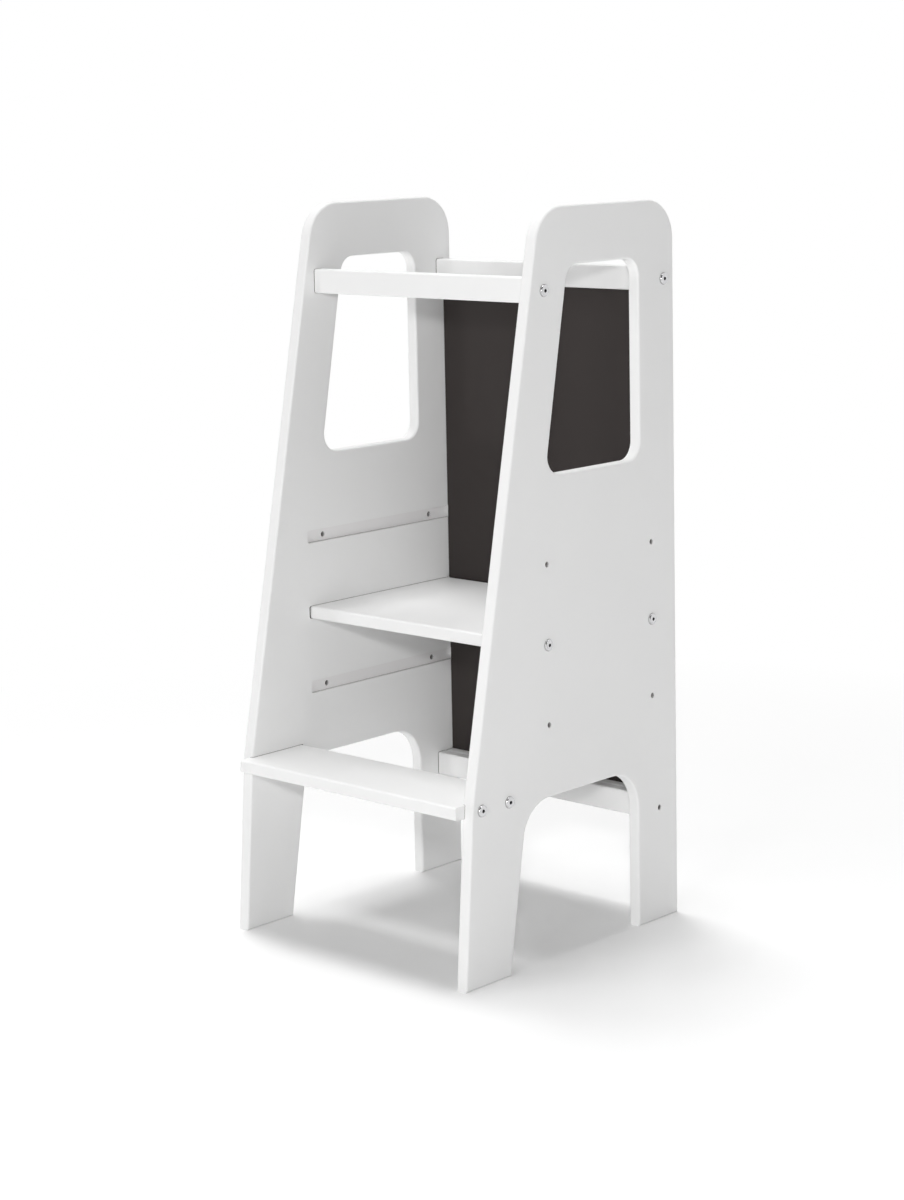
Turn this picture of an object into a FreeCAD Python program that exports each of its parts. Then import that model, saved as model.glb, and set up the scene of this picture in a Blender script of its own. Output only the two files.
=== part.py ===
"""Toddler kitchen helper stool: a raised standing platform between two tall side panels.

The stool is cut from painted 16 mm fibreboard. Two side panels carry a step, a platform that seats
in one of three pairs of grooves, two grab rails at the top and a chalkboard that closes the back.
Connector bolts with barrel nuts, dowels and screws hold it together.

Frame: X runs from the left panel to the right one, Y from the step to the chalkboard, Z up.
The origin is at the middle of the footprint, on the floor. All sizes are in millimetres.
"""
import FreeCAD, Part
import math
import os

Vector = FreeCAD.Vector
X_AXIS = Vector(1, 0, 0)
Y_AXIS = Vector(0, 1, 0)
Z_AXIS = Vector(0, 0, 1)

# ---- Driving dimensions: the whole stool -------------------------------------------------------
HEIGHT = 900.0
WIDTH = 386.0            # over the outer faces of the side panels
DEPTH = 400.0            # over the feet, front to back
BOARD = 16.0             # thickness of every painted board
EDGE_ROUND = 3.0         # round-over of the panel, step and platform edges

# ---- Driving dimensions: outline of a side panel -----------------------------------------------
# Depths (names that end in _Y) are measured from the front of the feet, and heights from the floor.
KNEE_Y, KNEE_Z = 17.0, 218.0          # where the leg's front edge bends into the long slope
KNEE_RADIUS = 120.0
TOP_FRONT_Y = 150.0                   # where the slope would meet the top edge
SHOULDER_RADIUS = 48.0                # both top corners and both arch corners
FRONT_LEG_WIDTH = 80.5                # at the floor
ARCH_FRONT_Y, ARCH_TOP_Z = 113.5, 201.5
REAR_LEG_WIDTH = 78.5
WINDOW_BOTTOM_Z, WINDOW_TOP_Z = 587.0, 831.0
WINDOW_BOTTOM_FRONT_Y, WINDOW_TOP_FRONT_Y = 155.5, 200.5
WINDOW_REAR_Y = 331.0
WINDOW_RADIUS = 22.0

# ---- Driving dimensions: housings, step and platform -------------------------------------------
HOUSING_DEPTH = 4.0                   # the step and the platform run this far into each panel
HOUSING_PLAY = 0.3                    # a housing is this much higher than the board in it
PLATFORM_Z = 378.0                    # underside of the platform in the middle groove
GROOVE_PITCH = 96.5                   # from one platform height to the next
GROOVE_FRONT_Y = 124.0
GROOVE_END_RADIUS = 3.0
PLATFORM_FRONT_Y, PLATFORM_REAR_Y = 126.5, 383.0
PLATFORM_BOLT_YS = (155.0, 352.0)
STEP_Z = 203.0                        # underside of the step
STEP_FRONT_Y, STEP_REAR_Y = 1.0, 105.5
STEP_BOLT_YS = (33.0, 81.0)

# ---- Driving dimensions: rails and chalkboard --------------------------------------------------
RAIL_HEIGHT = 30.0
RAIL_EDGE_ROUND = 2.5
RAIL_END_CHAMFER = 0.8                # the ends of the rails are eased where they meet the panels
TOP_RAIL_Z = 788.5                    # underside of both top rails
FRONT_RAIL_Y = 148.5                  # front face
BACK_RAIL_Y = 372.0                   # front face of the back rail and of the batten below it
LOWER_RAIL_Y, LOWER_RAIL_Z = 356.0, 129.0
CHALKBOARD_THICKNESS = 3.0
CHALKBOARD_LAP = 9.0                  # how far the chalkboard reaches into each rebate
CHALKBOARD_SIDE_GAP = 0.5

# ---- Driving dimensions: fasteners -------------------------------------------------------------
BOLT_HOLE_RADIUS = 3.5
BOLT_RADIUS = 3.0
BOLT_HEAD_RADIUS, BOLT_HEAD_HEIGHT = 7.0, 2.6
BOLT_HEAD_CHAMFER = 0.6
HEX_SOCKET_WIDTH, HEX_SOCKET_DEPTH = 4.0, 2.0
NUT_RADIUS, NUT_LENGTH = 5.0, 13.0
NUT_INSET = 34.0                      # from the end of the board to the nut's axis
BOLT_PAST_NUT = 8.0
DOWEL_RADIUS = 3.0
DOWEL_IN_PANEL, DOWEL_IN_RAIL = 10.0, 14.0
DOWEL_DROP = 9.5                      # a rail's dowel sits this far under its bolt
SUNK_SCREW_HEAD_RADIUS, SUNK_SCREW_HEAD_HEIGHT = 3.4, 4.0
SUNK_SCREW_SHOULDER = 8.0             # depth of the wide part of its hole
SUNK_SCREW_RADIUS, SUNK_SCREW_IN_RAIL = 2.5, 34.0
BATTEN_SCREW_XS = (-120.0, 0.0, 120.0)
BATTEN_SCREW_RADIUS, BATTEN_SCREW_LENGTH, BATTEN_SCREW_HEAD_RADIUS = 2.0, 28.0, 4.0
BOARD_SCREW_XS = (-150.0, 0.0, 150.0)
BOARD_SCREW_RADIUS, BOARD_SCREW_LENGTH = 1.6, 12.0
BOARD_SCREW_HEAD_RADIUS, BOARD_SCREW_HEAD_HEIGHT = 3.5, 1.8
FIT = 0.05                            # play round a nut, dowel or thread

# ---- Derived places ----------------------------------------------------------------------------
OUTER_X = WIDTH / 2
INNER_X = OUTER_X - BOARD
HOUSED_X = INNER_X + HOUSING_DEPTH    # bottom of a housing, and the end of the board in it
GROOVE_ZS = tuple(PLATFORM_Z + step * GROOVE_PITCH for step in (-1, 0, 1))
HALF_BOARD = BOARD / 2
STEP_BOLT_Z = STEP_Z + HALF_BOARD
TOP_RAIL_BOLT_Z = TOP_RAIL_Z + RAIL_HEIGHT / 2
LOWER_RAIL_SCREW_Z = LOWER_RAIL_Z + RAIL_HEIGHT / 2
FRONT_RAIL_BOLT_Y = FRONT_RAIL_Y + HALF_BOARD
BACK_RAIL_BOLT_Y = BACK_RAIL_Y + HALF_BOARD
LOWER_RAIL_SCREW_Y = LOWER_RAIL_Y + HALF_BOARD
RAIL_REAR_Y = BACK_RAIL_Y + BOARD     # rear face of the back rail, the batten and the chalkboard
CHALKBOARD_Y = RAIL_REAR_Y - CHALKBOARD_THICKNESS
LOWER_RAIL_TOP_Z = LOWER_RAIL_Z + RAIL_HEIGHT
CHALKBOARD_BOTTOM_Z = LOWER_RAIL_TOP_Z - CHALKBOARD_LAP
CHALKBOARD_TOP_Z = TOP_RAIL_Z + CHALKBOARD_LAP
SIDES = (-1, 1)                       # left panel, right panel


def at(x, y, z):
    """A point from a depth behind the front of the feet, moved into the stool's own frame."""
    return Vector(x, y - DEPTH / 2, z)


# ---- Building blocks ---------------------------------------------------------------------------
def rounded_outline(x, corners):
    """Closed wire in the plane X = x through (y, z, radius) corners, each rounded to its radius."""
    points = [at(x, y, z) for y, z, _ in corners]
    entries, exits, arcs = [], [], []
    for i, (_, _, radius) in enumerate(corners):
        corner = points[i]
        back = (points[i - 1] - corner).normalize()
        onward = (points[(i + 1) % len(points)] - corner).normalize()
        half_angle = back.getAngle(onward) / 2
        reach = radius / math.tan(half_angle)
        entries.append(corner + back * reach)
        exits.append(corner + onward * reach)
        if radius > 0:
            inward = (back + onward).normalize()
            middle = corner + inward * (radius / math.sin(half_angle) - radius)
            arcs.append(Part.Arc(entries[i], middle, exits[i]).toShape())
        else:
            arcs.append(None)
    edges = []
    for i, arc in enumerate(arcs):
        if arc is not None:
            edges.append(arc)
        edges.append(Part.LineSegment(exits[i], entries[(i + 1) % len(arcs)]).toShape())
    return Part.Wire(edges)


def plate(x, thickness, corners):
    """A flat board parallel to the side panels, with a rounded outline, from x to x + thickness."""
    return Part.Face(rounded_outline(x, corners)).extrude(X_AXIS * thickness)


def block(x0, x1, y0, y1, z0, z1):
    """A box between two corners."""
    return Part.makeBox(x1 - x0, y1 - y0, z1 - z0, at(x0, y0, z0))


def rod(start, direction, length, radius):
    """A round bar from a start point along a direction."""
    return Part.makeCylinder(radius, length, start, direction)


def round_edges(solid, radius, chosen):
    """Rounds the edges of a solid that the chosen test picks."""
    return solid.makeFillet(radius, [edge for edge in solid.Edges if chosen(edge)])


def lies_along_x(edge):
    """True for a straight edge that runs from one side panel towards the other."""
    return edge.BoundBox.YLength < FIT and edge.BoundBox.ZLength < FIT


def square_to_x(edge):
    """True for an edge that lies flat in a panel's inner or outer face, or in the end of a rail."""
    return edge.BoundBox.XLength < FIT


def end_bore(side, y, z, radius, depth, end_x):
    """A hole drilled along X into the end of a board that ends at end_x on one side."""
    return rod(at(side * end_x, y, z), X_AXIS * -side, depth, radius)


# ---- Side panels -------------------------------------------------------------------------------
def panel_outline():
    """Corners of a side panel: the sloping front, the two shoulders and the arch between the legs."""
    return [
        (0.0, 0.0, 0.0),
        (KNEE_Y, KNEE_Z, KNEE_RADIUS),
        (TOP_FRONT_Y, HEIGHT, SHOULDER_RADIUS),
        (DEPTH, HEIGHT, SHOULDER_RADIUS),
        (DEPTH, 0.0, 0.0),
        (DEPTH - REAR_LEG_WIDTH, 0.0, 0.0),
        (DEPTH - REAR_LEG_WIDTH, ARCH_TOP_Z, SHOULDER_RADIUS),
        (ARCH_FRONT_Y, ARCH_TOP_Z, SHOULDER_RADIUS),
        (FRONT_LEG_WIDTH, 0.0, 0.0),
    ]


def window_outline():
    """Corners of the hand window, whose front side follows the slope of the panel."""
    return [
        (WINDOW_BOTTOM_FRONT_Y, WINDOW_BOTTOM_Z, WINDOW_RADIUS),
        (WINDOW_TOP_FRONT_Y, WINDOW_TOP_Z, WINDOW_RADIUS),
        (WINDOW_REAR_Y, WINDOW_TOP_Z, WINDOW_RADIUS),
        (WINDOW_REAR_Y, WINDOW_BOTTOM_Z, WINDOW_RADIUS),
    ]


def housing_outline(front_y, rear_y, bottom_z, front_radius):
    """Corners of the housing that takes the end of a board."""
    top_z = bottom_z + BOARD + HOUSING_PLAY
    return [
        (front_y, bottom_z, front_radius),
        (front_y, top_z, front_radius),
        (rear_y, top_z, 0.0),
        (rear_y, bottom_z, 0.0),
    ]


def bolt_places():
    """Depth and height of every bolt hole that goes right through a side panel."""
    places = [(y, z + HALF_BOARD) for z in GROOVE_ZS for y in PLATFORM_BOLT_YS]
    places += [(y, STEP_BOLT_Z) for y in STEP_BOLT_YS]
    places += [(FRONT_RAIL_BOLT_Y, TOP_RAIL_BOLT_Z), (BACK_RAIL_BOLT_Y, TOP_RAIL_BOLT_Z)]
    return places


def dowel_places():
    """Depth and height of every dowel hole in the inner face of a side panel."""
    return [
        (FRONT_RAIL_BOLT_Y, TOP_RAIL_BOLT_Z - DOWEL_DROP),
        (BACK_RAIL_BOLT_Y, TOP_RAIL_BOLT_Z - DOWEL_DROP),
        (LOWER_RAIL_SCREW_Y, LOWER_RAIL_SCREW_Z - DOWEL_DROP),
    ]


def side_panel(side):
    """One side panel: rounded all round, then grooved and drilled from its inner face."""
    left_x = min(side * INNER_X, side * OUTER_X)
    panel = plate(left_x, BOARD, panel_outline()).cut(plate(left_x, BOARD, window_outline()))
    panel = round_edges(panel, EDGE_ROUND, square_to_x)

    cut_x = min(side * INNER_X, side * HOUSED_X)
    behind_panel = DEPTH + BOARD
    cutters = [
        plate(cut_x, HOUSING_DEPTH, housing_outline(GROOVE_FRONT_Y, behind_panel, z, GROOVE_END_RADIUS))
        for z in GROOVE_ZS
    ]
    cutters.append(plate(cut_x, HOUSING_DEPTH, housing_outline(-BOARD, STEP_REAR_Y, STEP_Z, 0.0)))
    cutters += [end_bore(side, y, z, BOLT_HOLE_RADIUS, BOARD, OUTER_X) for y, z in bolt_places()]
    cutters += [
        rod(at(side * INNER_X, y, z), X_AXIS * side, DOWEL_IN_PANEL + FIT, DOWEL_RADIUS + FIT)
        for y, z in dowel_places()
    ]
    screw_place = (side, LOWER_RAIL_SCREW_Y, LOWER_RAIL_SCREW_Z)
    cutters.append(end_bore(*screw_place, BOLT_HOLE_RADIUS, SUNK_SCREW_SHOULDER, OUTER_X))
    cutters.append(end_bore(*screw_place, SUNK_SCREW_RADIUS + FIT, BOARD, OUTER_X))
    return panel.cut(cutters)


# ---- Boards between the panels -----------------------------------------------------------------
def nut_bore(side, y, z, end_x, face_direction, face_distance):
    """The cross hole of a barrel nut, drilled in from a face at face_distance from the bolt's axis."""
    mouth = at(side * (end_x - NUT_INSET), y, z) + face_direction * face_distance
    return rod(mouth, face_direction * -1, face_distance + NUT_LENGTH / 2, NUT_RADIUS + FIT)


def bolt_bore(side, y, z, end_x):
    """The long hole that a connector bolt runs in, from the end of a board."""
    return end_bore(side, y, z, BOLT_HOLE_RADIUS, NUT_INSET + BOLT_PAST_NUT + 1.0, end_x)


def housed_board(front_y, rear_y, bottom_z, bolt_ys):
    """A board that seats in housings at both ends, bolted there through the side panels."""
    board = block(-HOUSED_X, HOUSED_X, front_y, rear_y, bottom_z, bottom_z + BOARD)
    board = round_edges(board, EDGE_ROUND, lies_along_x)
    axis_z = bottom_z + HALF_BOARD
    bores = []
    for side in SIDES:
        for y in bolt_ys:
            bores.append(bolt_bore(side, y, axis_z, HOUSED_X))
            bores.append(nut_bore(side, y, axis_z, HOUSED_X, Z_AXIS * -1, HALF_BOARD))
    return board.cut(bores)


def plain_rail(front_y, bottom_z):
    """A rail that butts against both side panels: its long edges are rounded and its ends eased."""
    rail = block(-INNER_X, INNER_X, front_y, front_y + BOARD, bottom_z, bottom_z + RAIL_HEIGHT)
    rail = round_edges(rail, RAIL_EDGE_ROUND, lies_along_x)
    return rail.makeChamfer(RAIL_END_CHAMFER, [edge for edge in rail.Edges if square_to_x(edge)])


def rail_dowel_bores(y, z):
    """The two end holes of a rail for its locating dowels."""
    return [end_bore(side, y, z, DOWEL_RADIUS + FIT, DOWEL_IN_RAIL + FIT, INNER_X) for side in SIDES]


def top_rail(front_y):
    """A grab rail at the top: a bolt, a barrel nut from its rear face and a dowel at each end."""
    axis_y = front_y + HALF_BOARD
    bores = rail_dowel_bores(axis_y, TOP_RAIL_BOLT_Z - DOWEL_DROP)
    for side in SIDES:
        bores.append(bolt_bore(side, axis_y, TOP_RAIL_BOLT_Z, INNER_X))
        bores.append(nut_bore(side, axis_y, TOP_RAIL_BOLT_Z, INNER_X, Y_AXIS, HALF_BOARD))
    return plain_rail(front_y, TOP_RAIL_Z).cut(bores)


def screw_bores(xs, z, radius, length):
    """Pilot holes drilled forwards from the rear face of the rails."""
    return [rod(at(x, RAIL_REAR_Y, z), Y_AXIS * -1, length, radius + FIT) for x in xs]


def board_screw_places():
    """Height of the screw row in the back rail and in the batten."""
    return {
        "back_rail": CHALKBOARD_TOP_Z - CHALKBOARD_LAP / 2,
        "batten": CHALKBOARD_BOTTOM_Z + CHALKBOARD_LAP / 2,
    }


def rebate(bottom_z, top_z):
    """The step cut along the rear of a rail that takes an edge of the chalkboard."""
    return block(-OUTER_X, OUTER_X, CHALKBOARD_Y, RAIL_REAR_Y + BOARD, bottom_z, top_z)


def back_rail():
    """The top rail over the chalkboard, rebated behind its lower edge."""
    cutters = [rebate(TOP_RAIL_Z - BOARD, CHALKBOARD_TOP_Z)]
    place = board_screw_places()["back_rail"]
    cutters += screw_bores(BOARD_SCREW_XS, place, BOARD_SCREW_RADIUS, BOARD_SCREW_LENGTH)
    return top_rail(BACK_RAIL_Y).cut(cutters)


def lower_rail():
    """The stretcher low at the back, in front of the batten."""
    cutters = rail_dowel_bores(LOWER_RAIL_SCREW_Y, LOWER_RAIL_SCREW_Z - DOWEL_DROP)
    for side in SIDES:
        depth = SUNK_SCREW_IN_RAIL + FIT
        place = (side, LOWER_RAIL_SCREW_Y, LOWER_RAIL_SCREW_Z)
        cutters.append(end_bore(*place, SUNK_SCREW_RADIUS + FIT, depth, INNER_X))
    cutters += screw_bores(BATTEN_SCREW_XS, batten_screw_z(), BATTEN_SCREW_RADIUS, BATTEN_SCREW_LENGTH)
    return plain_rail(LOWER_RAIL_Y, LOWER_RAIL_Z).cut(cutters)


def batten_screw_z():
    """Height of the screws that pull the batten against the lower rail, under the chalkboard."""
    return (LOWER_RAIL_Z + CHALKBOARD_BOTTOM_Z) / 2


def chalkboard_batten():
    """The batten behind the lower rail, rebated to take the foot of the chalkboard."""
    cutters = [rebate(CHALKBOARD_BOTTOM_Z, LOWER_RAIL_TOP_Z + BOARD)]
    place = board_screw_places()["batten"]
    cutters += screw_bores(BOARD_SCREW_XS, place, BOARD_SCREW_RADIUS, BOARD_SCREW_LENGTH)
    cutters += screw_bores(BATTEN_SCREW_XS, batten_screw_z(), BATTEN_SCREW_RADIUS, BATTEN_SCREW_LENGTH)
    cutters += [countersink(x) for x in BATTEN_SCREW_XS]
    return plain_rail(BACK_RAIL_Y, LOWER_RAIL_Z).cut(cutters)


def countersink(x):
    """The cone that a batten screw's head fills, flush with the rear face."""
    depth = BATTEN_SCREW_HEAD_RADIUS - BATTEN_SCREW_RADIUS
    mouth = at(x, RAIL_REAR_Y, batten_screw_z())
    return Part.makeCone(BATTEN_SCREW_HEAD_RADIUS, BATTEN_SCREW_RADIUS, depth, mouth, Y_AXIS * -1)


def chalkboard():
    """The thin board that closes the back, drilled for its screws."""
    reach = INNER_X - CHALKBOARD_SIDE_GAP
    board = block(-reach, reach, CHALKBOARD_Y, RAIL_REAR_Y, CHALKBOARD_BOTTOM_Z, CHALKBOARD_TOP_Z)
    bores = []
    for z in board_screw_places().values():
        bores += screw_bores(BOARD_SCREW_XS, z, BOARD_SCREW_RADIUS, BOARD_SCREW_LENGTH)
    return board.cut(bores)


# ---- Fasteners ---------------------------------------------------------------------------------
def hex_socket(side):
    """The hexagonal key hole in a bolt's head, at the outer face of a side panel."""
    corner_radius = HEX_SOCKET_WIDTH / math.sqrt(3)
    mouth_x = side * (OUTER_X + BOLT_HEAD_HEIGHT)
    corners = [
        Vector(mouth_x, corner_radius * math.cos(turn), corner_radius * math.sin(turn))
        for turn in (math.pi / 3 * k for k in range(6))
    ]
    outline = Part.makePolygon(corners + corners[:1])
    return Part.Face(outline).extrude(X_AXIS * (-side * HEX_SOCKET_DEPTH))


def connector_bolt(side, y, z, board_end_x):
    """A flat-headed connector bolt from the outer face through to just past its barrel nut."""
    shank_end_x = board_end_x - NUT_INSET - BOLT_PAST_NUT
    shank = rod(at(side * OUTER_X, y, z), X_AXIS * -side, OUTER_X - shank_end_x, BOLT_RADIUS)
    rim_height = BOLT_HEAD_HEIGHT - BOLT_HEAD_CHAMFER
    rim = rod(at(side * OUTER_X, y, z), X_AXIS * side, rim_height, BOLT_HEAD_RADIUS)
    crown = Part.makeCone(
        BOLT_HEAD_RADIUS, BOLT_HEAD_RADIUS - BOLT_HEAD_CHAMFER, BOLT_HEAD_CHAMFER,
        at(side * (OUTER_X + rim_height), y, z), X_AXIS * side)
    socket = hex_socket(side)
    socket.translate(at(0.0, y, z))
    return shank.fuse([rim, crown]).cut(socket).removeSplitter()


def bolts(places, board_end_x):
    """The bolts of one board, the same on both sides."""
    return [connector_bolt(side, y, z, board_end_x) for side in SIDES for y, z in places]


def barrel_nuts(places, board_end_x, axis):
    """The cross dowels that the bolts of one board screw into, drilled along an axis."""
    nuts = []
    for side in SIDES:
        for y, z in places:
            centre = at(side * (board_end_x - NUT_INSET), y, z)
            nut = rod(centre - axis * (NUT_LENGTH / 2), axis, NUT_LENGTH, NUT_RADIUS)
            thread = rod(centre - X_AXIS * BOARD, X_AXIS, 2 * BOARD, BOLT_RADIUS + FIT)
            nuts.append(nut.cut(thread))
    return nuts


def dowels(places):
    """Beech dowels across the joint between a rail and the side panels."""
    length = DOWEL_IN_PANEL + DOWEL_IN_RAIL
    return [
        rod(at(side * (INNER_X + DOWEL_IN_PANEL), y, z), X_AXIS * -side, length, DOWEL_RADIUS)
        for side in SIDES for y, z in places
    ]


def sunk_screws():
    """The two screws of the lower rail, whose heads sit deep in their holes."""
    screws = []
    for side in SIDES:
        head_x = OUTER_X - SUNK_SCREW_SHOULDER + SUNK_SCREW_HEAD_HEIGHT
        place = (side, LOWER_RAIL_SCREW_Y, LOWER_RAIL_SCREW_Z)
        head = end_bore(*place, SUNK_SCREW_HEAD_RADIUS, SUNK_SCREW_HEAD_HEIGHT, head_x)
        length = head_x - INNER_X + SUNK_SCREW_IN_RAIL
        shank = end_bore(*place, SUNK_SCREW_RADIUS, length, head_x)
        screws.append(head.fuse(shank).removeSplitter())
    return screws


def batten_screws():
    """Countersunk screws that hold the batten to the lower rail."""
    screws = []
    for x in BATTEN_SCREW_XS:
        mouth = at(x, RAIL_REAR_Y, batten_screw_z())
        shank = rod(mouth, Y_AXIS * -1, BATTEN_SCREW_LENGTH, BATTEN_SCREW_RADIUS)
        screws.append(shank.fuse(countersink(x)).removeSplitter())
    return screws


def chalkboard_screws():
    """Small pan-head screws through the chalkboard into the back rail and the batten."""
    screws = []
    for z in board_screw_places().values():
        for x in BOARD_SCREW_XS:
            face = at(x, RAIL_REAR_Y, z)
            shank = rod(face, Y_AXIS * -1, BOARD_SCREW_LENGTH, BOARD_SCREW_RADIUS)
            head = rod(face, Y_AXIS, BOARD_SCREW_HEAD_HEIGHT, BOARD_SCREW_HEAD_RADIUS)
            screws.append(shank.fuse(head).removeSplitter())
    return screws


# ---- The whole stool ---------------------------------------------------------------------------
def stool():
    """Every piece of the stool by name."""
    platform_places = [(y, PLATFORM_Z + HALF_BOARD) for y in PLATFORM_BOLT_YS]
    step_places = [(y, STEP_BOLT_Z) for y in STEP_BOLT_YS]
    front_place = [(FRONT_RAIL_BOLT_Y, TOP_RAIL_BOLT_Z)]
    back_place = [(BACK_RAIL_BOLT_Y, TOP_RAIL_BOLT_Z)]
    front_dowel, back_dowel, lower_dowel = dowel_places()
    return {
        "left_side_panel": side_panel(-1),
        "right_side_panel": side_panel(1),
        "platform": housed_board(PLATFORM_FRONT_Y, PLATFORM_REAR_Y, PLATFORM_Z, PLATFORM_BOLT_YS),
        "step_board": housed_board(STEP_FRONT_Y, STEP_REAR_Y, STEP_Z, STEP_BOLT_YS),
        "front_rail": top_rail(FRONT_RAIL_Y),
        "back_rail": back_rail(),
        "lower_rail": lower_rail(),
        "chalkboard_batten": chalkboard_batten(),
        "chalkboard": chalkboard(),
        "front_rail_bolts": bolts(front_place, INNER_X),
        "back_rail_bolts": bolts(back_place, INNER_X),
        "platform_bolts": bolts(platform_places, HOUSED_X),
        "step_bolts": bolts(step_places, HOUSED_X),
        "lower_rail_screws": sunk_screws(),
        "front_rail_barrel_nuts": barrel_nuts(front_place, INNER_X, Y_AXIS),
        "back_rail_barrel_nuts": barrel_nuts(back_place, INNER_X, Y_AXIS),
        "platform_barrel_nuts": barrel_nuts(platform_places, HOUSED_X, Z_AXIS),
        "step_barrel_nuts": barrel_nuts(step_places, HOUSED_X, Z_AXIS),
        "front_rail_dowels": dowels([front_dowel]),
        "back_rail_dowels": dowels([back_dowel]),
        "lower_rail_dowels": dowels([lower_dowel]),
        "batten_screws": batten_screws(),
        "chalkboard_screws": chalkboard_screws(),
    }


def main():
    """Writes one file for each named piece."""
    os.makedirs("parts", exist_ok=True)
    for name, shape in stool().items():
        solids = Part.makeCompound(shape) if isinstance(shape, list) else shape
        solids.exportStep(os.path.join("parts", name + ".step"))
        print(f"{name}: {len(solids.Solids)} solid(s), valid {solids.isValid()}, "
              f"volume {solids.Volume / 1000:.1f} cm3")


main()
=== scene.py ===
"""Looks of a toddler kitchen helper stool: painted boards, a dark chalkboard, plated fasteners.

The boards and the chalkboard are the frame's own pieces, which only get a finish here. The bolts,
barrel nuts, screws and dowels are modelled again with their sockets, slots, threads and flutes,
in the places that the frame gives. Lengths are in metres, and angles in degrees.
"""
from __future__ import annotations

import logging
import math
from dataclasses import dataclass, field
from enum import Enum
from typing import Sequence

import bmesh
import bpy
from mathutils import Matrix, Vector

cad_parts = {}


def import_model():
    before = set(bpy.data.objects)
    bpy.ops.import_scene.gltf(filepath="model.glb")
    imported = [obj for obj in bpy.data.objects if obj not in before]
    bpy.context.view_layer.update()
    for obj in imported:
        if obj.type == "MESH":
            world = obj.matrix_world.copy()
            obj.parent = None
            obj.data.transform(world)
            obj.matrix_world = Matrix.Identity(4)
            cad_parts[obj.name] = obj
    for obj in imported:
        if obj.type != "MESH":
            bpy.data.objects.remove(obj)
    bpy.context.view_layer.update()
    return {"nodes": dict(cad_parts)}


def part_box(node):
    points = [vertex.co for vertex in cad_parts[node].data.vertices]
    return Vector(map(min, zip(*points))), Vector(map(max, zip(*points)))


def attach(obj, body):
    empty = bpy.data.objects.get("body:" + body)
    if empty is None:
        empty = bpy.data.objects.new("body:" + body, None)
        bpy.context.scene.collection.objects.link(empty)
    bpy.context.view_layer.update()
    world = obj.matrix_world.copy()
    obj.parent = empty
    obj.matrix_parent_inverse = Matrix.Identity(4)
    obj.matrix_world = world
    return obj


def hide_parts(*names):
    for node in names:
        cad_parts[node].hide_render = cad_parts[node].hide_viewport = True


LOG = logging.getLogger("helper_stool")
ROOT_BODY = "root"
MM = 0.001
PHOTO_HEIGHT_PX = 1200

Colour = tuple[float, float, float]
Point = tuple[float, float, float]
Span = tuple[float, float]
Node = bpy.types.Node
Socket = bpy.types.NodeSocket
Material = bpy.types.Material

# Fractal noise seldom leaves this range.
NOISE_SPAN: Span = (0.3, 0.7)
SHELTER_SAMPLES = 8
# Faces that meet at more than this keep a sharp edge.
SHARP_ANGLE = 32.0
THREAD_RINGS_PER_TURN = 4
# The bands of a turned piece, from its start, that are a recess's floor and walls, and take the
# painted shade.
RECESS_BANDS = 2
# A screw's point is this share of its shank.
POINT_SHARE = 0.1


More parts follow.
